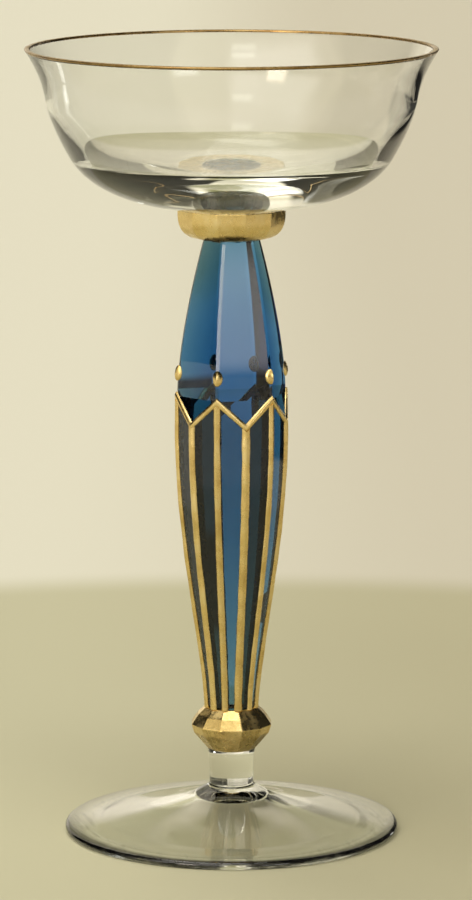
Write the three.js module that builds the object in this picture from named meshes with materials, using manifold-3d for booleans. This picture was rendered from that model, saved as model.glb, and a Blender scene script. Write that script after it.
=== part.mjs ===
// A coupe-shaped cocktail glass in cut crystal: clear bowl with a gilded lip, gilded collar,
// blue stem with six broad facets and raised gilding, gilded knop, clear neck and foot.
// Millimetres, +Z up, origin at the centre of the face that the foot rests on.
// Azimuths are measured from -Y towards +X; one of the six broad facets faces -Y.

import * as THREE from "three";
import { mergeVertices } from "three/addons/utils/BufferGeometryUtils.js";
import Module from "manifold-3d";

const wasm = await Module();
wasm.setup();

// Foot
const footDiameter = 82.4;
const footEdge = 2.0; // thickness at the rounded edge
const footBand = 9.5; // width of the flatter outer band
const footBandRise = 0.9; // rise of the band from the edge inwards
const footHeight = 12.0;
const footShoulder = 2.4; // how far the top flares out under the neck
const footShoulderDrop = 1.9; // how far it comes down as it does
const restingRing = 4.0; // width of the ring that stands on the table
const footHollow = 7.6; // depth of the hollow underneath
const footBandWall = 2.2; // thickness upright at the inner end of the band
const footShoulderWall = 3.2; // thickness upright at the shoulder

// Neck between the foot and the knop
const neckDiameter = 10.9;
const neckTopDiameter = 11.8;
const neckLength = 8.5;

// Knop, cut with the same number of sides as the stem
const knopDiameter = 20.4;
const knopHeight = 10.7;
const knopCrease = 6.3; // height of the widest edge above the knop's bottom
const knopHaunch = 4.3; // height of the edge under the crease
const knopHaunchDiameter = 19.1;
const knopShoulder = 8.8; // height of the edge over the crease
const knopShoulderDiameter = 17.0;

// Stem
const stemSides = 12;
const broadFacets = 6;
const stemBottomDiameter = 12.8;
const stemDiameter = 27.6; // across the corners, at the peaks of the zigzag
const stemTopDiameter = 14.2;
const stemLength = 116.4;
const peakHeight = 78.1; // zigzag peaks above the stem's bottom
const zigzagDrop = 6.4; // from the peaks down to the valleys
const blankExtra = 1.2; // how far the uncut blank stands out beyond its widest corners at the top

// Raised gilding
const clearance = 0.05; // between the gilding and the glass, and between its strokes
const relief = 0.5; // height of the raised lines
const peakLineWidth = 1.65;
const valleyLineWidth = 2.0;
const zigzagHeight = 2.0; // height of the zigzag stroke, measured along the axis
const dropWidth = 2.5;
const dropHeight = 3.8;
const dropRelief = 0.75;
const dropAbovePeak = 5.6;

// Collar
const collarDiameter = 27.1; // across the corners
const collarHeight = 7.4;
const collarBand = 1.5; // height of its upright edge
const collarBottomDiameter = 17.4;
const jointDiameter = 15.2; // fused to the bowl within this
const jointHeight = 0.15; // how far the rest of the collar's top stays clear of the bowl

// Bowl
const rimDiameter = 100.0;
const bowlHeight = 38.8; // with the gilded lip
const bellyDiameter = 89.9; // where the wall stands upright
const bellyHeight = 26.0; // of that place above the bowl's bottom
const shoulderDiameter = 77.8; // where the floor turns up into the wall
const shoulderHeight = 11.8;
const seatDiameter = 26.0; // flat over the collar
const floorThickness = 9.75;
const shoulderWall = 2.3; // thickness sideways at the shoulder
const shoulderFloor = 0.65; // how much higher the inside turns up than the outside
const bellyWall = 1.5;
const lipWall = 1.1;
const lipGilding = 0.6; // height of the gilded bead on the lip
const lipOverhang = 0.2; // of the bead beyond the glass

// Smoothness
const roundSteps = 56;
const neckSteps = 36;
const edgeSteps = 6;
const curveSteps = 7;

// Levels up the axis
const neckBase = footHeight;
const knopBase = neckBase + neckLength;
const stemBase = knopBase + knopHeight;
const peakLevel = stemBase + peakHeight;
const valleyLevel = peakLevel - zigzagDrop;
const collarBase = stemBase + stemLength;
const bowlBase = collarBase + collarHeight;
const rimLevel = bowlBase + bowlHeight;
const lipLevel = rimLevel - lipGilding;

const sector = (2 * Math.PI) / stemSides;
const facetSector = (2 * Math.PI) / broadFacets;

// Materials
const clearGlass = () =>
  new THREE.MeshStandardMaterial({
    color: 0xe9ece4,
    roughness: 0.03,
    metalness: 0,
    transparent: true,
    opacity: 0.35,
  });
const blueGlass = () => new THREE.MeshStandardMaterial({ color: 0x1f4a7a, roughness: 0.06, metalness: 0 });
const gold = () => new THREE.MeshStandardMaterial({ color: 0xc9973a, roughness: 0.25, metalness: 1 });

// Profiles, as points of radius and height

// Curve from start to end. leave and arrive are its two handles, as shares of the way across and up.
function bend(start, end, leave, arrive, steps = curveSteps) {
  const across = (share) => start[0] + (end[0] - start[0]) * share;
  const up = (share) => start[1] + (end[1] - start[1]) * share;
  const at = ([r, z]) => new THREE.Vector2(r, z);
  const handle = ([r, z]) => new THREE.Vector2(across(r), up(z));
  return new THREE.CubicBezierCurve(at(start), handle(leave), handle(arrive), at(end)).getPoints(steps);
}

// Half circle from the bottom of an edge, round its outside, to the top.
function halfRound(centre, bottom, radius, steps = edgeSteps) {
  const arc = new THREE.EllipseCurve(centre, bottom + radius, radius, radius, -Math.PI / 2, Math.PI / 2);
  return arc.getPoints(steps);
}

function points(...pairs) {
  return pairs.map(([r, z]) => new THREE.Vector2(r, z));
}

// Joins stretches end to end and drops the point that two of them share.
function outline(...stretches) {
  return stretches.flat().filter((p, i, all) => i === 0 || p.distanceTo(all[i - 1]) > 1e-6);
}

// Radius of a profile at a height, on the straight facets between its points.
function radiusAt(profile, z) {
  const i = profile.findIndex((p, k) => k > 0 && (profile[k - 1].y - z) * (p.y - z) <= 0);
  const [a, b] = [profile[i - 1], profile[i]];
  return a.x + ((b.x - a.x) * (z - a.y)) / (b.y - a.y);
}

// Solids

function turned(profile, steps = roundSteps, firstCorner = 0) {
  return new THREE.LatheGeometry(profile, steps, firstCorner).rotateX(Math.PI / 2);
}

function toManifold(geometry) {
  const bare = geometry.clone().deleteAttribute("normal").deleteAttribute("uv");
  const merged = mergeVertices(bare);
  const mesh = new wasm.Mesh({
    numProp: 3,
    vertProperties: merged.getAttribute("position").array,
    triVerts: new Uint32Array(merged.getIndex().array),
  });
  return new wasm.Manifold(mesh);
}

function fromManifold(solid) {
  const { vertProperties, triVerts } = solid.getMesh();
  return new THREE.BufferGeometry()
    .setAttribute("position", new THREE.BufferAttribute(vertProperties, 3))
    .setIndex(new THREE.BufferAttribute(triVerts, 1));
}

// Skin over rings of points. An open loft is capped at both ends; a closed one runs back to its start.
function loft(rings, closed = false) {
  const count = rings[0].length;
  const faces = [];
  const last = closed ? rings.length : rings.length - 1;
  for (let i = 0; i < last; i++) {
    const below = i * count;
    const above = ((i + 1) % rings.length) * count;
    for (let j = 0; j < count; j++) {
      const k = (j + 1) % count;
      faces.push(below + j, below + k, above + k, below + j, above + k, above + j);
    }
  }
  if (!closed) {
    const top = (rings.length - 1) * count;
    for (let j = 1; j < count - 1; j++) {
      faces.push(0, j + 1, j, top, top + j, top + j + 1);
    }
  }
  return new THREE.BufferGeometry().setFromPoints(rings.flat()).setIndex(faces);
}

// A point at tangent offset u and radial distance v, seen along an azimuth.
function around(azimuth, u, v, z) {
  const [s, c] = [Math.sin(azimuth), Math.cos(azimuth)];
  return new THREE.Vector3(v * s + u * c, -v * c + u * s, z);
}

// Clear foot: a cone that runs out into a flatter band. The hollow underneath follows the top.
function foot() {
  const corner = footEdge / 2;
  const edge = footDiameter / 2 - corner;
  const band = [footDiameter / 2 - footBand, footEdge + footBandRise];
  const top = [neckDiameter / 2, footHeight];
  const shoulder = [top[0] + footShoulder, footHeight - footShoulderDrop];
  const innerShoulder = [shoulder[0], shoulder[1] - footShoulderWall];
  const innerBand = [band[0], band[1] - footBandWall];
  const dome = bend([0, footHollow], innerShoulder, [0.5, 0], [0.85, 0.6], 3);
  const under = bend(innerShoulder, innerBand, [0.22, 0.45], [0.64, 0.78], 5);
  const ring = bend(innerBand, [edge - restingRing, 0], [0.3, 0.4], [0.65, 0.85], 2);
  const rounding = halfRound(edge, 0, corner);
  const outerBand = bend([edge, footEdge], band, [0.35, 0.15], [0.7, 0.6], 3);
  const flank = bend(band, shoulder, [0.36, 0.22], [0.78, 0.55], 6);
  const flare = bend(shoulder, top, [0.5, 0.3], [0.95, 0.55], 4);
  return turned(outline(dome, under, ring, rounding, outerBand, flank, flare, points([0, footHeight])));
}

// Clear neck, drawn straight up and flared under the knop
function neck() {
  const side = bend([neckDiameter / 2, neckBase], [neckTopDiameter / 2, knopBase], [0, 0.6], [0.1, 0.88], 6);
  return turned(outline(points([0, neckBase]), side, points([0, knopBase])), neckSteps);
}

// Gilded knop, cut in four rows of flats
function knop() {
  return turned(
    points(
      [0, knopBase],
      [neckTopDiameter / 2, knopBase],
      [knopHaunchDiameter / 2, knopBase + knopHaunch],
      [knopDiameter / 2, knopBase + knopCrease],
      [knopShoulderDiameter / 2, knopBase + knopShoulder],
      [stemBottomDiameter / 2, stemBase],
      [0, stemBase],
    ),
    stemSides,
  );
}

// Outline of the twelve-sided blank, which is left as it is below the zigzag and upright behind it
function blankProfile() {
  const widest = stemDiameter / 2;
  const bottom = [stemBottomDiameter / 2, stemBase];
  const baluster = bend(bottom, [widest, valleyLevel - zigzagHeight], [0.05, 0.2], [1, 0.6], 12);
  return outline(baluster, points([widest, peakLevel], [widest + blankExtra, collarBase]));
}

// Corners of the six broad facets: they follow the baluster down to the peaks, then run out
function facetProfile() {
  const widest = stemDiameter / 2;
  const runOut = widest + 2 * (widest / Math.cos(facetSector / 2) - widest);
  const shoulder = bend([widest, peakLevel], [stemTopDiameter / 2, collarBase], [0, 0.27], [0.52, 0.7], 10);
  return outline(
    points([0, stemBase], [runOut, stemBase], [runOut, peakLevel - 2 * zigzagDrop]),
    shoulder,
    points([0, collarBase]),
  );
}

const blank = blankProfile();
const facets = facetProfile().slice(1, -1);

// Blue stem: a twelve-sided baluster whose upper part is cut by six broad facets
function stem() {
  const ends = [points([0, stemBase]), points([0, collarBase])];
  const body = toManifold(turned(outline(ends[0], blank, ends[1]), stemSides));
  const cutter = toManifold(turned(facetProfile(), broadFacets, facetSector / 2));
  return fromManifold(body.intersect(cutter));
}

// Crown of a raised line or drop: shares of its half width, and of its height above the glass
const crown = [
  [-1, 0.25],
  [-0.75, 0.7],
  [-0.35, 0.95],
  [0, 1],
  [0.35, 0.95],
  [0.75, 0.7],
  [1, 0.25],
];

// Section of a raised stroke that straddles a corner of the stem, given as a profile.
// lean is the angle by which the faces beside the corner fall away from it.
function strokeSection(azimuth, corner, halfWidth, height, lean, levelAt) {
  const inner = (u) => radiusAt(corner, levelAt(u)) + clearance - Math.abs(u) * Math.tan(lean);
  const under = (s) => [s * halfWidth, inner(s * halfWidth)];
  const over = crown.map(([s, h]) => [s * halfWidth, inner(s * halfWidth) + h * height]);
  return [under(0), under(-1), ...over, under(1)].map(([u, v]) => around(azimuth, u, v, levelAt(u)));
}

// Raised line down a corner of the stem. slope is how its top is mitred to the zigzag.
function line(azimuth, width, start, slope) {
  const [bottom, top] = [stemBase + clearance, start - zigzagHeight / 2 - 2 * clearance];
  const half = width / 2;
  const mitre = (u) => top + slope * Math.abs(u);
  const lowest = Math.min(top, mitre(half));
  const levels = blank.map((p) => p.y).filter((z) => z > bottom + clearance && z < lowest - clearance);
  const section = (levelAt) => strokeSection(azimuth, blank, half, relief, sector / 2, levelAt);
  const rings = [bottom, ...levels].map((z) => section(() => z));
  return loft([...rings, section(mitre)]);
}

// Raised oval drop on the corner between two broad facets
function drop(azimuth) {
  const centre = peakLevel + dropAbovePeak;
  const rings = [];
  const steps = 8;
  for (let i = 0; i <= steps; i++) {
    const t = -1 + (2 * (i + 0.25)) / (steps + 0.5);
    const bulge = Math.sqrt(1 - t * t);
    const z = centre + (t * dropHeight) / 2;
    const [half, height] = [(bulge * dropWidth) / 2, bulge * dropRelief];
    rings.push(strokeSection(azimuth, facets, half, height, facetSector / 2, () => z));
  }
  return loft(rings);
}

// Section of the zigzag: shares of its half height, and of its height above the glass
const zigzagSection = [
  [-1, 0],
  [0, 0],
  [1, 0],
  [1, 0.25],
  [0.65, 0.8],
  [0, 1],
  [-0.65, 0.8],
  [-1, 0.25],
];

// One closed zigzag line along the lower ends of the six broad facets
function zigzag() {
  const half = zigzagHeight / 2;
  const rings = [];
  for (let i = 0; i < stemSides; i++) {
    const atPeak = i % 2 === 1;
    const level = atPeak ? peakLevel : valleyLevel;
    const across = atPeak ? 1 : Math.cos(facetSector / 2);
    const surface = (z) => Math.min(radiusAt(blank, z), across * radiusAt(facets, z)) + clearance;
    rings.push(
      zigzagSection.map(([s, h]) => {
        const z = level + s * half;
        return around(i * sector, 0, surface(z) + h * relief, z);
      }),
    );
  }
  return loft(rings, true);
}

// Gilded collar under the bowl
function collar() {
  const bottom = [collarBottomDiameter / 2, collarBase];
  const edge = [collarDiameter / 2, bowlBase - collarBand];
  const side = bend(bottom, edge, [0.75, 0.12], [0.97, 0.5], 5);
  const top = bowlBase - jointHeight;
  const joint = jointDiameter / 2;
  const over = points([edge[0], top], [joint, top], [joint, bowlBase], [0, bowlBase]);
  return turned(outline(points([0, collarBase]), side, over), stemSides);
}

// Half of the bowl's wall in section, between the bottom and the ground lip
const belly = bellyDiameter / 2;
const bellyLevel = bowlBase + bellyHeight;
const lipEdge = rimDiameter / 2 - lipOverhang;

// The wall above the belly, flared to the lip
function flaredWall(bellyRadius, lipRadius) {
  return bend([bellyRadius, bellyLevel], [lipRadius, lipLevel], [0.11, 0.33], [0.44, 0.64]);
}

function bowlOutside() {
  const seat = [seatDiameter / 2, bowlBase];
  const shoulder = [shoulderDiameter / 2, bowlBase + shoulderHeight];
  const bottom = bend(seat, shoulder, [0.43, 0.1], [0.82, 0.39]);
  const side = bend(shoulder, [belly, bellyLevel], [0.38, 0.28], [0.86, 0.68]);
  return outline(points([0, bowlBase]), bottom, side, flaredWall(belly, lipEdge));
}

function bowlInside() {
  const floor = [0, bowlBase + floorThickness];
  const shoulder = [shoulderDiameter / 2 - shoulderWall, bowlBase + shoulderHeight + shoulderFloor];
  const wall = belly - bellyWall;
  const bottom = bend(floor, shoulder, [0.57, 0], [0.83, 0.23]);
  const side = bend(shoulder, [wall, bellyLevel], [0.42, 0.32], [0.9, 0.69], 6);
  return outline(bottom, side, flaredWall(wall, lipEdge - lipWall)).reverse();
}

// Clear bowl, thick at the bottom
function bowl() {
  return turned(outline(bowlOutside(), bowlInside()));
}

// Gilded bead on the lip
function lipBead() {
  const edge = rimDiameter / 2;
  const [outer, inner] = [edge - lipOverhang, edge - lipOverhang - lipWall];
  const [middle, half] = [(outer + inner) / 2, lipLevel + lipGilding / 2];
  return turned(
    outline(
      points([inner, lipLevel], [outer, lipLevel]),
      bend([edge, half], [middle, rimLevel], [0, 0.6], [0.3, 1], 3),
      bend([middle, rimLevel], [inner, lipLevel], [0.6, 0], [1, 0.5], 3),
    ),
  );
}

// Assembly
const glass = new THREE.Group();

function place(name, geometry, material) {
  const mesh = new THREE.Mesh(geometry, material);
  mesh.name = name;
  glass.add(mesh);
}

place("foot", foot(), clearGlass());
place("neck", neck(), clearGlass());
place("knop", knop(), gold());
place("stem", stem(), blueGlass());
place("zigzag_gilding", zigzag(), gold());
for (let i = 0; i < broadFacets; i++) {
  const valley = i * facetSector;
  const peak = valley + facetSector / 2;
  const side = 2 * (stemDiameter / 2) * Math.sin(sector / 2);
  const pitch = zigzagDrop / side;
  place(`peak_line_${i + 1}`, line(peak, peakLineWidth, peakLevel, -pitch), gold());
  place(`valley_line_${i + 1}`, line(valley, valleyLineWidth, valleyLevel, pitch), gold());
  place(`gilt_drop_${i + 1}`, drop(peak), gold());
}
place("collar", collar(), gold());
place("bowl", bowl(), clearGlass());
place("lip_gilding", lipBead(), gold());

export default glass;
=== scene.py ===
# Crystal cocktail glass: its finished surfaces, studio light and camera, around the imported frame.
# Shapes are worked out in millimetres and made in metres. Azimuths run from -Y towards +X.
import math

import bpy
import numpy as np
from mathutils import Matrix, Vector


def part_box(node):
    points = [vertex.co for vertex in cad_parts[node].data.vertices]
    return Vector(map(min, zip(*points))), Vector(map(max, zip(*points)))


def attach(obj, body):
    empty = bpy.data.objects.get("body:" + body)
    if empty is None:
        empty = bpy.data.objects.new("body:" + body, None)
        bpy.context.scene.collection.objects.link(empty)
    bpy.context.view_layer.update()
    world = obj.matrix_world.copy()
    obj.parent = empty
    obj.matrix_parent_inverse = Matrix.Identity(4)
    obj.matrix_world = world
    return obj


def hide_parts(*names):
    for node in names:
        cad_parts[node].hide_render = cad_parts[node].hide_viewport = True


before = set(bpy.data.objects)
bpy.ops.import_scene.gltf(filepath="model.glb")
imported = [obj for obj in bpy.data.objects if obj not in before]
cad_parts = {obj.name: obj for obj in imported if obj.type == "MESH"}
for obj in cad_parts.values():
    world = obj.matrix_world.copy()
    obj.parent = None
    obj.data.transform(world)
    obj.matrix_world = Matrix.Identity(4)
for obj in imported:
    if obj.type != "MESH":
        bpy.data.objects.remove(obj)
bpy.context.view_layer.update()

MM = 0.001


def extent(node):
    """Radius, lowest level and highest level of a CAD node, in millimetres."""
    low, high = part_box(node)
    return high.x / MM, low.z / MM, high.z / MM


# Levels and radii that the frame gives
FOOT_RADIUS, _, FOOT_TOP = extent("foot")
NECK_TOP_RADIUS, NECK_BASE, KNOP_BASE = extent("neck")
KNOP_RADIUS, _, STEM_BASE = extent("knop")
STEM_RADIUS, _, COLLAR_BASE = extent("stem")
COLLAR_RADIUS, _, BOWL_BASE = extent("collar")
LIP_RADIUS, _, LIP_LEVEL = extent("bowl")
RIM_RADIUS, _, RIM_LEVEL = extent("lip_gilding")
_, ZIGZAG_LOW, ZIGZAG_HIGH = extent("zigzag_gilding")
_, DROP_LOW, DROP_HIGH = extent("gilt_drop_1")

# Foot
FOOT_EDGE = 2.0
FOOT_BAND = 9.5
FOOT_BAND_RISE = 0.9
FOOT_SHOULDER = 2.4
FOOT_SHOULDER_DROP = 1.9
RESTING_RING = 4.0
FOOT_HOLLOW = 7.6
FOOT_BAND_WALL = 2.2
FOOT_SHOULDER_WALL = 3.2
RING_CROWN = 0.12
NECK_RADIUS = 5.45

# Knop: heights over its bottom, and radii
KNOP_HAUNCH = 4.3
KNOP_HAUNCH_RADIUS = 9.55
KNOP_CREASE = 6.3
KNOP_SHOULDER = 8.8
KNOP_SHOULDER_RADIUS = 8.5
KNOP_ROUNDING = 0.22

# Stem
SIDES = 12
FACETS = 6
STEM_BOTTOM_RADIUS = 6.4
STEM_TOP_RADIUS = 7.1
BLANK_EXTRA = 1.2
CUTTER_BELOW, CUTTER_ABOVE = 1.0, 0.001  # overrun past the stem's ends
FACET_CHAMFER = 0.8
FACET_CORNER = 45  # degrees; only the corners between the broad facets turn this far
SECTOR = 2 * math.pi / SIDES
FACET_SECTOR = 2 * math.pi / FACETS

# Gilding
ZIGZAG_HEIGHT = 2.0
PEAK_LEVEL = ZIGZAG_HIGH - ZIGZAG_HEIGHT / 2
VALLEY_LEVEL = ZIGZAG_LOW + ZIGZAG_HEIGHT / 2
ZIGZAG_DROP = PEAK_LEVEL - VALLEY_LEVEL
ZIGZAG_SLOPE = ZIGZAG_DROP / (2 * STEM_RADIUS * math.sin(SECTOR / 2))
RELIEF = 0.5
STROKE_EDGE = 0.25  # height of a stroke's edges, as a share of its middle's
SUNK = 0.12  # how far the strokes reach into the glass, so that no air shows under them
PEAK_LINE_WIDTH = 1.65
VALLEY_LINE_WIDTH = 2.0
DROP_WIDTH = 2.5
DROP_RELIEF = 0.75
DROP_OVERRUN = 0.1  # of each tapered end beyond the solid's blunt one
PEAK_SEED, VALLEY_SEED, DROP_SEED, ZIGZAG_SEED = 10, 20, 30, 7
HEIGHT_SEED = 50  # over the seed of the same line's width
WIDTH_WANDER, HEIGHT_WANDER, ZIGZAG_WANDER = 0.05, 0.07, 0.03

# Collar
COLLAR_BAND = 1.5
COLLAR_BOTTOM_RADIUS = 8.7
COLLAR_ROUNDING = 0.18
JOINT_RADIUS = 7.6
JOINT_HEIGHT = 0.15
JOINT_INSET = 0.5  # of the bowl's part of the joint within the collar's

# Bowl
SEAT_RADIUS = 13.0
SHOULDER_RADIUS = 38.9
SHOULDER_HEIGHT = 11.8
BELLY_RADIUS = 44.95
BELLY_HEIGHT = 26.0
FLOOR_THICKNESS = 9.75
SHOULDER_WALL = 2.3
SHOULDER_FLOOR = 0.65
BELLY_WALL = 1.5
LIP_WALL = 1.1

# Fused joints reach this far into the next piece, so that no film of air shows between them
FUSED = 0.04

# Smoothness
ROUND_STEPS = 192
NECK_STEPS = 96
CURVE_STEPS = 28
SMOOTH_BELOW = math.radians(24)
CUT_SMOOTH_BELOW = math.radians(8)

# Shapes


def bend(start, end, leave, arrive, steps=CURVE_STEPS):
    """Curve from start to end. leave and arrive are its handles, as shares of the way across and up."""
    start, end = np.array(start, float), np.array(end, float)
    first = start + (end - start) * leave
    second = start + (end - start) * arrive
    t = np.linspace(0, 1, steps + 1)[:, None]
    s = 1 - t
    return s**3 * start + 3 * s**2 * t * first + 3 * s * t**2 * second + t**3 * end


def half_round(centre, bottom, radius, steps=14):
    """Half circle from the bottom of an edge, round its outside, to the top."""
    t = np.linspace(-math.pi / 2, math.pi / 2, steps + 1)
    return np.column_stack([centre + radius * np.cos(t), bottom + radius + radius * np.sin(t)])


def outline(*stretches):
    """Joins stretches of a profile and drops the points that two of them share."""
    points = np.vstack([np.atleast_2d(np.array(s, float)) for s in stretches])
    kept = [points[0]]
    for point in points[1:]:
        if np.hypot(*(point - kept[-1])) > 1e-6:
            kept.append(point)
    return np.array(kept)


def radius_at(profile, z):
    """Radius of a rising profile at a height."""
    return float(np.interp(z, profile[:, 1], profile[:, 0]))


def around(azimuth, u, v, z):
    """A point at tangent offset u and radial distance v, seen along an azimuth."""
    s, c = math.sin(azimuth), math.cos(azimuth)
    return v * s + u * c, -v * c + u * s, z


def solid(name, vertices, faces):
    """An object from points in millimetres, shaded smooth up to its sharp edges."""
    mesh = bpy.data.meshes.new(name)
    mesh.from_pydata((np.array(vertices) * MM).tolist(), [], faces)
    mesh.validate()
    mesh.update()
    mesh.shade_smooth()
    mesh.set_sharp_from_angle(angle=SMOOTH_BELOW)
    piece = bpy.data.objects.new(name, mesh)
    bpy.context.scene.collection.objects.link(piece)
    return piece


def turned(name, profile, steps=ROUND_STEPS, first=0.0, closed=False):
    """Body of revolution. A profile that doesn't close on itself starts and ends on the axis."""
    vertices, rings = [], []
    for radius, z in profile:
        if radius < 1e-6:
            rings.append([len(vertices)] * steps)
            vertices.append((0, 0, z))
            continue
        rings.append([len(vertices) + j for j in range(steps)])
        vertices += [around(first + 2 * math.pi * j / steps, 0, radius, z) for j in range(steps)]
    if closed:
        rings.append(rings[0])
    faces = []
    for below, above in zip(rings, rings[1:]):
        for j in range(steps):
            k = (j + 1) % steps
            corners = [below[j], below[k], above[k], above[j]]
            faces.append([c for i, c in enumerate(corners) if c not in corners[:i]])
    return solid(name, vertices, faces)


def loft(name, rings, closed=False):
    """Skin over rings of points. An open loft is capped at both ends; a closed one runs back to its start."""
    count = len(rings[0])
    vertices = [point for ring in rings for point in ring]
    faces = []
    for i in range(len(rings) if closed else len(rings) - 1):
        below, above = i * count, (i + 1) % len(rings) * count
        for j in range(count):
            k = (j + 1) % count
            faces.append([below + j, below + k, above + k, above + j])
    if not closed:
        top = (len(rings) - 1) * count
        for j in range(1, count - 1):
            faces.append([0, j + 1, j])
            faces.append([top, top + j, top + j + 1])
    return solid(name, vertices, faces)


def bevelled(piece, width, segments=3, least=12, beyond=0.0, harden=True):
    """Rounds the edges of a cut piece that turn by at least so many degrees and lie beyond a radius."""
    mesh = piece.data
    outside = [math.hypot(*vertex.co[:2]) > beyond * MM for vertex in mesh.vertices]
    weights = mesh.attributes.new("bevel_weight_edge", "FLOAT", "EDGE")
    normals = {}
    for face in mesh.polygons:
        for key in face.edge_keys:
            normals.setdefault(key, []).append(face.normal.copy())
    for edge in mesh.edges:
        a, b = edge.key
        sides = normals[edge.key]
        if outside[a] and outside[b] and sides[0].angle(sides[1], 0) > math.radians(least):
            weights.data[edge.index].value = 1.0
    bevel = piece.modifiers.new("polished_edges", "BEVEL")
    bevel.width = width * MM
    bevel.segments = segments
    bevel.limit_method = "WEIGHT"
    bevel.harden_normals = harden
    return piece


def wobble(seed, amount, waves=5):
    """A slow, repeatable wander along a hand-laid stroke."""
    draw = np.random.RandomState(seed)
    rates = draw.uniform(0.05, 0.9, waves)
    phases = draw.uniform(0, 2 * math.pi, waves)
    return lambda z: amount * sum(math.sin(r * z + p) for r, p in zip(rates, phases)) / math.sqrt(waves)


def foot():
    corner = FOOT_EDGE / 2
    edge = FOOT_RADIUS - corner
    band = [FOOT_RADIUS - FOOT_BAND, FOOT_EDGE + FOOT_BAND_RISE]
    top = [NECK_RADIUS, FOOT_TOP + FUSED]
    shoulder = [NECK_RADIUS + FOOT_SHOULDER, FOOT_TOP - FOOT_SHOULDER_DROP]
    inner_shoulder = [shoulder[0], shoulder[1] - FOOT_SHOULDER_WALL]
    inner_band = [band[0], band[1] - FOOT_BAND_WALL]
    dome = bend([0, FOOT_HOLLOW], inner_shoulder, [0.5, 0], [0.85, 0.6])
    under = bend(inner_shoulder, inner_band, [0.22, 0.45], [0.64, 0.78])
    ring = bend(inner_band, [edge - RESTING_RING, RING_CROWN], [0.3, 0.4], [0.65, 0.85], 12)
    rest = bend([edge - RESTING_RING, RING_CROWN], [edge - RESTING_RING / 2, 0], [0.4, 0.8], [0.7, 1], 8)
    rounding = half_round(edge, 0, corner)[1:]
    outer_band = bend([edge, FOOT_EDGE], band, [0.35, 0.15], [0.7, 0.6])
    flank = bend(band, shoulder, [0.36, 0.22], [0.78, 0.55])
    flare = bend(shoulder, top, [0.5, 0.3], [0.95, 0.55])
    underside = outline(dome, under, ring, rest)
    return turned("glass_foot", outline(underside, rounding, outer_band, flank, flare, [0, top[1]]))


def neck():
    side = bend([NECK_RADIUS, NECK_BASE], [NECK_TOP_RADIUS, KNOP_BASE], [0, 0.6], [0.1, 0.88])
    return turned("glass_neck", outline([0, NECK_BASE], side, [0, KNOP_BASE]), NECK_STEPS)


def knop():
    profile = [
        [0, KNOP_BASE],
        [NECK_TOP_RADIUS, KNOP_BASE],
        [KNOP_HAUNCH_RADIUS, KNOP_BASE + KNOP_HAUNCH],
        [KNOP_RADIUS, KNOP_BASE + KNOP_CREASE],
        [KNOP_SHOULDER_RADIUS, KNOP_BASE + KNOP_SHOULDER],
        [STEM_BOTTOM_RADIUS, STEM_BASE],
        [0, STEM_BASE],
    ]
    return bevelled(turned("gilt_knop", profile, SIDES), KNOP_ROUNDING)


def blank_profile():
    """Outline of the twelve-sided blank, upright behind the zigzag."""
    widest = [STEM_RADIUS, VALLEY_LEVEL - ZIGZAG_HEIGHT]
    baluster = bend([STEM_BOTTOM_RADIUS, STEM_BASE], widest, [0.05, 0.2], [1, 0.6], 48)
    return outline(baluster, [STEM_RADIUS, PEAK_LEVEL], [STEM_RADIUS + BLANK_EXTRA, COLLAR_BASE])


def facet_profile():
    """Corners of the six broad facets, run out below the peaks."""
    run_out = STEM_RADIUS + 2 * (STEM_RADIUS / math.cos(FACET_SECTOR / 2) - STEM_RADIUS)
    upper = bend([STEM_RADIUS, PEAK_LEVEL], [STEM_TOP_RADIUS, COLLAR_BASE], [0, 0.27], [0.52, 0.7], 40)
    return outline([run_out, STEM_BASE], [run_out, PEAK_LEVEL - 2 * ZIGZAG_DROP], upper)


BLANK = blank_profile()
FACET_CORNERS = facet_profile()


def settle(piece):
    """Works a piece's modifiers into its mesh and keeps its flats sharp."""
    seen = bpy.context.evaluated_depsgraph_get()
    mesh = bpy.data.meshes.new_from_object(piece.evaluated_get(seen))
    piece.modifiers.clear()
    piece.data = mesh
    mesh.shade_smooth()
    mesh.set_sharp_from_angle(angle=CUT_SMOOTH_BELOW)
    return piece


def stem():
    """Twelve-sided baluster whose upper part is cut by six broad facets."""
    body = turned("glass_stem", outline([0, STEM_BASE], BLANK, [0, COLLAR_BASE]), SIDES)
    under, over = STEM_BASE - CUTTER_BELOW, COLLAR_BASE + CUTTER_ABOVE
    profile = outline([0, under], [FACET_CORNERS[0][0], under], FACET_CORNERS, [0, over])
    cutter = turned("facet_cutter", profile, FACETS, FACET_SECTOR / 2)
    cut = body.modifiers.new("broad_facets", "BOOLEAN")
    cut.operation = "INTERSECT"
    cut.solver = "EXACT"
    cut.object = cutter
    settle(body)
    bpy.data.objects.remove(cutter)
    return settle(bevelled(body, FACET_CHAMFER, 1, FACET_CORNER, harden=False))


def crown(s):
    """Height of a stroke at a share of its half width, as a share of its full height."""
    return STROKE_EDGE + (1 - STROKE_EDGE) * math.sqrt(max(0, 1 - s * s))


def stroke_section(azimuth, corner, half, height, lean, level_at, steps=10):
    """Section of a raised stroke that straddles a corner of the stem, a little sunk into the glass."""

    def inner(u):
        return radius_at(corner, level_at(u)) - abs(u) * math.tan(lean) - SUNK

    under = [(0, inner(0)), (-half, inner(-half))]
    over = [(s * half, inner(s * half) + SUNK + height * crown(s)) for s in np.linspace(-1, 1, steps + 1)]
    return [around(azimuth, u, v, level_at(u)) for u, v in [*under, *over, (half, inner(half))]]


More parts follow.
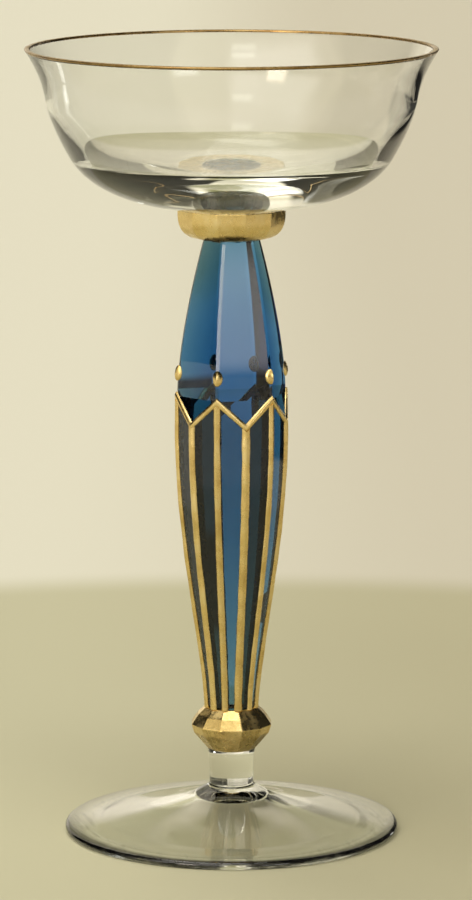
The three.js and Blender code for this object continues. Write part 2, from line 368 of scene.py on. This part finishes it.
def line(name, azimuth, width, start, slope, seed):
    """Raised line down a corner of the stem, mitred to the zigzag and as uneven as a hand lays it."""
    top = start - ZIGZAG_HEIGHT / 2 + SUNK
    half = width / 2
    swell = wobble(seed, WIDTH_WANDER)
    height = wobble(seed + HEIGHT_SEED, HEIGHT_WANDER)
    rings = []
    for z in np.linspace(STEM_BASE - SUNK, top - half, 110):
        here, relief = half * (1 + swell(z)), RELIEF * (1 + height(z))
        rings.append(stroke_section(azimuth, BLANK, here, relief, SECTOR / 2, lambda u, z=z: z))
    rings.append(stroke_section(azimuth, BLANK, half, RELIEF, SECTOR / 2, lambda u: top + slope * abs(u)))
    return loft(name, rings)


def drop(name, azimuth, seed):
    """Raised oval drop on the corner between two broad facets."""
    draw = np.random.RandomState(seed)
    centre = (DROP_LOW + DROP_HIGH) / 2
    half_height = (DROP_HIGH - DROP_LOW) / 2 + DROP_OVERRUN
    width, relief = DROP_WIDTH * draw.uniform(0.94, 1.03), DROP_RELIEF * draw.uniform(0.92, 1.03)
    rings = []
    steps = 20
    for i in range(steps + 1):
        t = math.sin((-1 + 2 * (i + 0.12) / (steps + 0.24)) * math.pi / 2)
        bulge = math.sqrt(1 - t * t)
        z = centre + t * half_height
        size = (bulge * width / 2, bulge * relief)
        rings.append(stroke_section(azimuth, FACET_CORNERS, *size, FACET_SECTOR / 2, lambda u, z=z: z, 14))
    return loft(name, rings)


def zigzag():
    """One closed zigzag line along the lower ends of the six broad facets."""
    half = ZIGZAG_HEIGHT / 2
    section = [(-1, 0), (0, 0), (1, 0)] + [(s, crown(s)) for s in np.linspace(1, -1, 11)]
    corners = []
    for i in range(SIDES):
        at_peak = i % 2 == 1
        level = PEAK_LEVEL if at_peak else VALLEY_LEVEL
        across = 1 if at_peak else math.cos(FACET_SECTOR / 2)
        ring = []
        for s, h in section:
            z = level + s * half
            glass = min(radius_at(BLANK, z), across * radius_at(FACET_CORNERS, z))
            lift = -SUNK if h == 0 else h * RELIEF
            ring.append(around(i * SECTOR, 0, glass + lift, z))
        corners.append(np.array(ring))
    swell = wobble(ZIGZAG_SEED, ZIGZAG_WANDER)
    rings = []
    steps = 14
    for i in range(SIDES):
        here, there = corners[i], corners[(i + 1) % SIDES]
        for k in range(steps):
            ring = here + (there - here) * k / steps
            middle = ring.mean(axis=0)
            scale = 1 + swell(4 * (i * steps + k)) * math.sin(math.pi * k / steps)
            rings.append([tuple(middle + (p - middle) * scale) for p in ring])
    return loft("gilt_zigzag", rings, closed=True)


def collar():
    """Twelve-sided ring. The faces of its joint with the bowl take its second material."""
    band = [COLLAR_RADIUS, BOWL_BASE - COLLAR_BAND]
    side = bend([COLLAR_BOTTOM_RADIUS, COLLAR_BASE], band, [0.75, 0.12], [0.97, 0.5], 10)
    top = BOWL_BASE - JOINT_HEIGHT
    over = [[COLLAR_RADIUS, top], [JOINT_RADIUS, top], [JOINT_RADIUS, BOWL_BASE], [0, BOWL_BASE]]
    piece = turned("gilt_collar", outline([0, COLLAR_BASE], side, over), SIDES)
    for face in piece.data.polygons:
        face.material_index = int(face.center.z > (BOWL_BASE - JOINT_HEIGHT) * MM + 1e-6)
    return bevelled(piece, COLLAR_ROUNDING, least=20, beyond=JOINT_RADIUS + 1)


def flared_wall(belly_radius, lip_radius):
    """The wall above the belly, flared to the lip."""
    level = BOWL_BASE + BELLY_HEIGHT
    return bend([belly_radius, level], [lip_radius, LIP_LEVEL], [0.11, 0.33], [0.44, 0.64])


def bowl():
    belly_level = BOWL_BASE + BELLY_HEIGHT
    seat = [SEAT_RADIUS, BOWL_BASE]
    shoulder = [SHOULDER_RADIUS, BOWL_BASE + SHOULDER_HEIGHT]
    outside = outline(
        [0, BOWL_BASE - FUSED],
        [JOINT_RADIUS - JOINT_INSET, BOWL_BASE - FUSED],
        [JOINT_RADIUS - JOINT_INSET, BOWL_BASE + FUSED / 2],
        bend(seat, shoulder, [0.43, 0.1], [0.82, 0.39]),
        bend(shoulder, [BELLY_RADIUS, belly_level], [0.38, 0.28], [0.86, 0.68]),
        flared_wall(BELLY_RADIUS, LIP_RADIUS),
    )
    floor = [0, BOWL_BASE + FLOOR_THICKNESS]
    turn = [SHOULDER_RADIUS - SHOULDER_WALL, BOWL_BASE + SHOULDER_HEIGHT + SHOULDER_FLOOR]
    wall = BELLY_RADIUS - BELLY_WALL
    inside = outline(
        bend(floor, turn, [0.57, 0], [0.83, 0.23]),
        bend(turn, [wall, belly_level], [0.42, 0.32], [0.9, 0.69]),
        flared_wall(wall, LIP_RADIUS - LIP_WALL),
    )
    return turned("glass_bowl", outline(outside, inside[::-1]))


def lip():
    """Gilded bead on the lip."""
    inner = LIP_RADIUS - LIP_WALL
    middle, half = (LIP_RADIUS + inner) / 2, (LIP_LEVEL + RIM_LEVEL) / 2
    profile = outline(
        [[inner, LIP_LEVEL - FUSED], [LIP_RADIUS, LIP_LEVEL - FUSED]],
        bend([RIM_RADIUS, half], [middle, RIM_LEVEL], [0, 0.6], [0.3, 1], 8),
        bend([middle, RIM_LEVEL], [inner, half], [0.6, 0], [1, 0.5], 8),
    )
    return turned("gilt_lip", profile, closed=True)


# Materials


class Wiring:
    """Short ways to add nodes to a tree. They take numbers, colours or the outputs of other nodes."""

    def __init__(self, tree):
        self.nodes, self.links = tree.nodes, tree.links

    def math(self, operation, a, b=0.0):
        node = self.nodes.new("ShaderNodeMath")
        node.operation = operation
        for socket, value in zip(node.inputs, (a, b)):
            if isinstance(value, (int, float)):
                socket.default_value = value
            else:
                self.links.new(value, socket)
        return node.outputs["Value"]

    def vector(self, operation, source, other=(0, 0, 0)):
        node = self.nodes.new("ShaderNodeVectorMath")
        node.operation = operation
        node.inputs[1].default_value = other
        self.links.new(source, node.inputs[0])
        return node.outputs

    def spread(self, source, low, high, to_low=0.0, to_high=1.0):
        """Carries a value smoothly from one range into another."""
        ranged = self.nodes.new("ShaderNodeMapRange")
        ranged.interpolation_type = "SMOOTHSTEP"
        for socket, value in zip(("From Min", "From Max", "To Min", "To Max"), (low, high, to_low, to_high)):
            ranged.inputs[socket].default_value = value
        self.links.new(source, ranged.inputs["Value"])
        return ranged.outputs["Result"]

    def blend(self, share, first, second):
        mix = self.nodes.new("ShaderNodeMix")
        mix.data_type = "RGBA"
        self.links.new(share, mix.inputs[0])
        for colour, socket in ((first, mix.inputs[6]), (second, mix.inputs[7])):
            if isinstance(colour, tuple):
                socket.default_value = (*colour, 1)
            else:
                self.links.new(colour, socket)
        return mix.outputs[2]


class Finish(Wiring):
    """A material being wired: its nodes, its shader and short ways to add textures."""

    def __init__(self, name):
        self.material = bpy.data.materials.new(name)
        self.material.use_nodes = True
        super().__init__(self.material.node_tree)
        self.shader = self.nodes["Principled BSDF"]
        self.place = self.nodes.new("ShaderNodeTexCoord").outputs["Object"]

    def set(self, **values):
        for socket, value in values.items():
            self.shader.inputs[socket.replace("_", " ")].default_value = value

    def feed(self, source, socket):
        self.links.new(source, self.shader.inputs[socket])

    def noise(self, scale, detail=3.0, roughness=0.5, stretch=(1, 1, 1)):
        mapping = self.nodes.new("ShaderNodeMapping")
        mapping.inputs["Scale"].default_value = stretch
        self.links.new(self.place, mapping.inputs["Vector"])
        noise = self.nodes.new("ShaderNodeTexNoise")
        noise.inputs["Scale"].default_value = scale
        noise.inputs["Detail"].default_value = detail
        noise.inputs["Roughness"].default_value = roughness
        self.links.new(mapping.outputs["Vector"], noise.inputs["Vector"])
        return noise.outputs["Fac"]

    def colours(self, source, *stops):
        ramp = self.nodes.new("ShaderNodeValToRGB")
        elements = ramp.color_ramp.elements
        while len(elements) < len(stops):
            elements.new(0.5)
        for element, (position, colour) in zip(elements, stops):
            element.position = position
            element.color = (*colour, 1)
        self.links.new(source, ramp.inputs["Fac"])
        return ramp.outputs["Color"]

    def along(self, *direction):
        """How far a place lies along a direction, in metres."""
        return self.vector("DOT_PRODUCT", self.place, direction)["Value"]

    def azimuth(self):
        """Angle round the axis, from -Y towards +X."""
        split = self.nodes.new("ShaderNodeSeparateXYZ")
        self.links.new(self.place, split.inputs[0])
        return self.math("ARCTAN2", split.outputs["X"], self.math("MULTIPLY", split.outputs["Y"], -1.0))

    def away(self):
        """How far a place lies from the object's origin, in metres."""
        return self.vector("LENGTH", self.place)["Value"]

    def bump(self, source, depth):
        """Raises the surface by a texture, at most by a depth in millimetres."""
        bump = self.nodes.new("ShaderNodeBump")
        bump.inputs["Distance"].default_value = depth * MM
        self.links.new(source, bump.inputs["Height"])
        self.feed(bump.outputs["Normal"], "Normal")

    def absorb(self, colour, density):
        """Colour that deepens with the thickness of the glass."""
        volume = self.nodes.new("ShaderNodeVolumeAbsorption")
        volume.inputs["Color"].default_value = (*colour, 1)
        volume.inputs["Density"].default_value = density
        output = self.nodes["Material Output"]
        self.links.new(volume.outputs["Volume"], output.inputs["Volume"])


GLASS_IOR = 1.52
GLASS_SKIN, GLASS_SKIN_DULL = (1, 1, 1), (0.965, 0.975, 0.96)
GLASS_WAVE = 0.06
FILM_ROUGHNESS = (0.004, 0.035)
SCUFF_ROUGHNESS = 0.25
SCUFF_LEVELS = (0.1 * MM, 0.6 * MM)
CLEAR_TINT, CLEAR_DENSITY = (0.70, 0.80, 0.50), 2.5
BLUE_TINT, BLUE_DENSITY = (0.22, 0.60, 0.84), 195.0

# Painted shade on the stem below the zigzag: a darker tint over its glass there, near black on every other
# panel, with a soft edge along the zigzag
STEM_SHADE_TINT, STEM_SHADE_TINT_DEEP = (0.76, 0.74, 0.62), (0.684, 0.666, 0.558)
# Painted shade: near black on every other panel below the zigzag
PANEL_SHADE, PANEL_SHADE_DEEP = (0.05, 0.045, 0.025), (0.035, 0.0315, 0.0175)
SHADE_EDGE = 0.2 * MM


def painted_stem_shade(finish, skin):
    """Painted shade below the zigzag: the glass is tinted darker there, and every other panel is painted near
    black for the shade on the panels beside the lit one.
    """
    azimuth = finish.azimuth()
    wave = finish.math("COSINE", finish.math("MULTIPLY", azimuth, FACETS))
    over = finish.math("ADD", finish.along(0, 0, 1), finish.math("MULTIPLY", wave, ZIGZAG_DROP / 2 * MM))
    middle = (PEAK_LEVEL + VALLEY_LEVEL) / 2 * MM
    above = finish.spread(over, middle - SHADE_EDGE, middle + SHADE_EDGE)
    turn = finish.math("MULTIPLY", finish.math("ADD", azimuth, SECTOR / 2), FACETS)
    # picks every other panel, the ones that take the painted shade
    unshaded_panel = finish.spread(finish.math("COSINE", turn), -0.1, 0.1)
    patches = finish.noise(55, 4)
    # painted shade: the glass below the zigzag tinted darker
    shaded_glass = finish.colours(patches, (0.3, STEM_SHADE_TINT_DEEP), (0.7, STEM_SHADE_TINT))
    # painted shade: the near-black panels
    dark_panel_shade = finish.colours(patches, (0.3, PANEL_SHADE_DEEP), (0.7, PANEL_SHADE))
    return finish.blend(above, finish.blend(unshaded_panel, dark_panel_shade, shaded_glass), skin)


def glass(name, tint, density, shade_painted=False):
    """Polished glass: faint waves from the hand, a film of handling in places, scuffs where it stands."""
    finish = Finish(name)
    finish.set(Transmission_Weight=1.0, IOR=GLASS_IOR)
    finish.bump(finish.noise(45, 2), GLASS_WAVE)
    skin = finish.colours(finish.noise(30, 4), (0.35, GLASS_SKIN_DULL), (0.65, GLASS_SKIN))
    # the stem's glass takes painted shade below its zigzag
    if shade_painted:
        skin = painted_stem_shade(finish, skin)
    finish.feed(skin, "Base Color")
    film = finish.spread(finish.noise(70, 8, 0.65), 0.55, 0.75, *FILM_ROUGHNESS)
    scuff = finish.spread(finish.along(0, 0, 1), *SCUFF_LEVELS, SCUFF_ROUGHNESS, 0.0)
    scratch = finish.spread(finish.noise(900, 4, 0.6, (1, 0.15, 1)), 0.4, 0.7, 0.2, 1.0)
    finish.feed(finish.math("ADD", film, finish.math("MULTIPLY", scuff, scratch)), "Roughness")
    finish.absorb(tint, density)
    return finish.material


GOLD_TONES = ((0.56, 0.38, 0.13), (0.80, 0.60, 0.25), (0.88, 0.72, 0.38))
WORN_TONES = ((0.20, 0.11, 0.04), (0.34, 0.22, 0.09), (0.50, 0.36, 0.16))
GOLD_WEAR, LIP_WEAR = 0.25, 0.35
BRUSHED_ROUGHNESS = (0.16, 0.30)
GOLD_GRAIN = 0.02


def gilding(name, wear, tones):
    """Burnished gold on a paste ground: brushed unevenly, rubbed dull and brown where hands reach it."""
    finish = Finish(name)
    finish.set(Metallic=1.0)
    patches = finish.noise(160, 6, 0.6)
    finish.feed(finish.colours(patches, *zip((0.25, 0.5, 0.8), tones)), "Base Color")
    rubbed = finish.spread(finish.noise(420, 8, 0.7), 0.45, 0.75, 0.0, wear)
    brushed = finish.spread(patches, 0.3, 0.7, *BRUSHED_ROUGHNESS)
    finish.feed(finish.math("ADD", brushed, rubbed), "Roughness")
    finish.bump(finish.noise(1400, 5, 0.6), GOLD_GRAIN)
    return finish.material


clear_glass = glass("clear_crystal", CLEAR_TINT, CLEAR_DENSITY)
# the blue glass carries the stem's painted shade below the zigzag
blue_glass = glass("blue_crystal", BLUE_TINT, BLUE_DENSITY, shade_painted=True)
gold = gilding("burnished_gilding", GOLD_WEAR, GOLD_TONES)
worn_gold = gilding("worn_lip_gilding", LIP_WEAR, WORN_TONES)

# Pieces on the frame


def dress(piece, material, node, joint=None):
    """Gives a piece its material, and the one of its fused joint, and puts it in its node's place."""
    piece.data.materials.append(material)
    if joint:
        piece.data.materials.append(joint)
    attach(piece, "root")
    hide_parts(node)


dress(foot(), clear_glass, "foot")
dress(neck(), clear_glass, "neck")
dress(knop(), gold, "knop")
dress(stem(), blue_glass, "stem")
dress(zigzag(), gold, "zigzag_gilding")
for i in range(FACETS):
    valley = i * FACET_SECTOR
    peak = valley + FACET_SECTOR / 2
    number = i + 1
    under_peak = (peak, PEAK_LINE_WIDTH, PEAK_LEVEL, -ZIGZAG_SLOPE, PEAK_SEED + i)
    under_valley = (valley, VALLEY_LINE_WIDTH, VALLEY_LEVEL, ZIGZAG_SLOPE, VALLEY_SEED + i)
    dress(line(f"gilt_peak_line_{number}", *under_peak), gold, f"peak_line_{number}")
    dress(line(f"gilt_valley_line_{number}", *under_valley), gold, f"valley_line_{number}")
    dress(drop(f"gilt_oval_drop_{number}", peak, DROP_SEED + i), gold, f"gilt_drop_{number}")
dress(collar(), gold, "collar", joint=blue_glass)
dress(bowl(), clear_glass, "bowl")
dress(lip(), worn_gold, "lip_gilding")

# Studio, in metres

CAMERA_AZIMUTH = math.radians(-15)
FLOOR_RINGS = (0.1, 0.3, 1.0, 8.0)
FLOOR_STEPS = 96
# Left and right tones of the table and backdrop; the darker right ones are painted shade of the light falling
# off
BACKDROP_LEFT, BACKDROP_RIGHT = (0.83, 0.81, 0.68), (0.69, 0.65, 0.53)
TABLE_LEFT, TABLE_RIGHT = (0.62, 0.60, 0.42), (0.54, 0.51, 0.345)
PAINTED_FALLOFF = (-0.07, 0.08)  # painted shade of the light falling off, from left to right in the picture
SWEEP = (0.283, 0.318)  # out from the glass, where the table turns into the backdrop

# Painted shade: a dark patch on the floor to the right and behind, outside every view's frame, standing in
# for the dark room there, for the stem's right side to mirror
ROOM_SHADE = (0.03, 0.03, 0.03)
ROOM_SHADE_SIDE = (0.28, 0.32)  # its edge, rightwards in the picture
ROOM_SHADE_FRONT = (0.108, 0.116)  # its edge, along its own azimuth
ROOM_SHADE_AZIMUTH = math.radians(180)


def floor():
    """Pale table that turns into a paler backdrop round the glass, both with painted shade that darkens them
    a little to the right, and a patch of painted shade behind them at the right.
    """
    vertices = [(0, 0, 0)]
    for radius in FLOOR_RINGS:
        vertices += [around(2 * math.pi * j / FLOOR_STEPS, 0, radius / MM, 0) for j in range(FLOOR_STEPS)]
    faces = [[0, 1 + j, 1 + (j + 1) % FLOOR_STEPS] for j in range(FLOOR_STEPS)]
    for ring in range(len(FLOOR_RINGS) - 1):
        a = 1 + ring * FLOOR_STEPS
        b = a + FLOOR_STEPS
        for j in range(FLOOR_STEPS):
            k = (j + 1) % FLOOR_STEPS
            faces.append([a + j, b + j, b + k, a + k])
    ground = solid("floor", vertices, faces)
    finish = Finish("pale_paper")
    finish.set(Roughness=0.9, Specular_IOR_Level=0.2)
    aside = finish.along(*around(CAMERA_AZIMUTH, 1, 0, 0))
    # painted shade: darker to the right, where the light falls off
    falloff_shade = finish.spread(aside, *PAINTED_FALLOFF)
    table = finish.colours(falloff_shade, (0.0, TABLE_LEFT), (1.0, TABLE_RIGHT))
    backdrop = finish.colours(falloff_shade, (0.0, BACKDROP_LEFT), (1.0, BACKDROP_RIGHT))
    paper = finish.blend(finish.spread(finish.away(), *SWEEP), table, backdrop)
    # painted shade of the dark room, to the right and behind
    behind = finish.along(*around(ROOM_SHADE_AZIMUTH, 0, 1, 0))
    room_shaded = finish.math("MULTIPLY", finish.spread(aside, *ROOM_SHADE_SIDE), finish.spread(behind, *ROOM_SHADE_FRONT))
    finish.feed(finish.blend(room_shaded, paper, ROOM_SHADE), "Base Color")
    finish.bump(finish.noise(700, 4, 0.6), 0.03)
    ground.data.materials.append(finish.material)


floor()


class Sky(Wiring):
    """The world: a pale surround with soft bright and dark cards."""

    def __init__(self, surround):
        world = bpy.data.worlds.new("studio")
        bpy.context.scene.world = world
        world.use_nodes = True
        super().__init__(world.node_tree)
        self.nodes.clear()
        self.background = self.nodes.new("ShaderNodeBackground")
        output = self.nodes.new("ShaderNodeOutputWorld")
        self.links.new(self.background.outputs[0], output.inputs[0])
        direction = self.nodes.new("ShaderNodeTexCoord").outputs["Generated"]
        split = self.nodes.new("ShaderNodeSeparateXYZ")
        self.links.new(direction, split.inputs[0])
        self.rise = split.outputs["Z"]
        flat = self.vector("MULTIPLY", direction, (1, 1, 0))["Vector"]
        self.heading = self.vector("NORMALIZE", flat)["Vector"]
        self.colour = surround

    def over(self, level, softness):
        """Where the sky is higher than a level, in degrees."""
        return self.spread(self.rise, *(math.sin(math.radians(level + s)) for s in (-softness, softness)))

    def card(self, azimuth, half_width, low, high, colour, softness):
        """A soft card over azimuth +- half_width and from low to high above the horizon, all in degrees."""
        a = math.radians(azimuth)
        toward = self.vector("DOT_PRODUCT", self.heading, (math.sin(a), -math.cos(a), 0))["Value"]
        mask = self.spread(toward, *(math.cos(math.radians(half_width + s)) for s in (softness, -softness)))
        if low > -90:
            mask = self.math("MULTIPLY", mask, self.over(low, softness))
        if high < 90:
            mask = self.math("MULTIPLY", mask, self.math("SUBTRACT", 1.0, self.over(high, softness)))
        self.colour = self.blend(mask, self.colour, colour)

    def done(self, plain):
        """Finishes the world. The camera itself sees a plain tone over the floor's edge."""
        rays = self.nodes.new("ShaderNodeLightPath")
        seen = self.blend(rays.outputs["Is Camera Ray"], self.colour, plain)
        self.links.new(seen, self.background.inputs["Color"])


SURROUND = (0.85, 0.78, 0.60)
FAR_TONE = (0.80, 0.74, 0.553)
DARK = (0.02, 0.02, 0.02)

# Middle azimuth, half width, lowest and highest level, light, softness. A later card covers an earlier one.
CARDS = (
    (-50, 112, 66, 90, (4.3, 4.2, 4.0), 6),  # overhead lamp
    (165, 20, 16, 30, (0.60, 0.56, 0.34), 2),  # behind, seen in the foot: its shaded lower half
    (178, 34, 32, 62, (1.5, 1.35, 1.05), 3),  # its lit upper half
    (165, 9, 32, 60, (0.40, 0.37, 0.15), 3),  # the olive middle of that
    (178, 9, 0, 14, (1.2, 1.1, 0.9), 2),  # the sheen at its left
    (153, 4, 4, 20, DARK, 1.5),  # the stroke at its right
    (-45, 30, 14, 50, (2.3, 2.2, 2.0), 6),  # wide window at the left
    (0, 62, -90, 9, DARK, 3),  # dark room low in front
    (88, 61, -90, 86, DARK, 3),  # dark room at the right
    (-125, 31, -90, 64, DARK, 3),  # dark room behind at the left
    (-45, 6, -4, 24, (7.0, 6.3, 5.3), 2),  # narrow lamp: the streak down the stem's left corner
    (15, 8, 1, 17, (3.1, 3.05, 2.9), 3),  # lamp in front: the light middle facet
    (128, 3, -2, 7, (3.5, 3.5, 3.4), 1),  # small lamp at the right
    (-24, 8, 42, 47, (4.5, 4.5, 4.2), 2),  # high lamp: the glints
)

sky = Sky(SURROUND)
for card in CARDS:
    sky.card(*card)
sky.done(FAR_TONE)

# Camera at the photograph's place

CAMERA_DISTANCE = 1130.0
CAMERA_HEIGHT = 297.7
CAMERA_PITCH = math.radians(10.16)
LENS = 187.6
SENSOR = 36.0
SHIFT = 0.005

lens = bpy.data.cameras.new("camera")
lens.lens = LENS
lens.sensor_width = SENSOR
lens.shift_x = SHIFT
lens.clip_start = 0.05
lens.clip_end = 40
camera = bpy.data.objects.new("camera", lens)
camera.location = [c * MM for c in around(CAMERA_AZIMUTH, 0, CAMERA_DISTANCE, CAMERA_HEIGHT)]
camera.rotation_euler = (math.pi / 2 - CAMERA_PITCH, 0, CAMERA_AZIMUTH)
bpy.context.scene.collection.objects.link(camera)
bpy.context.scene.camera = camera
bpy.context.scene.view_settings.view_transform = "Standard"
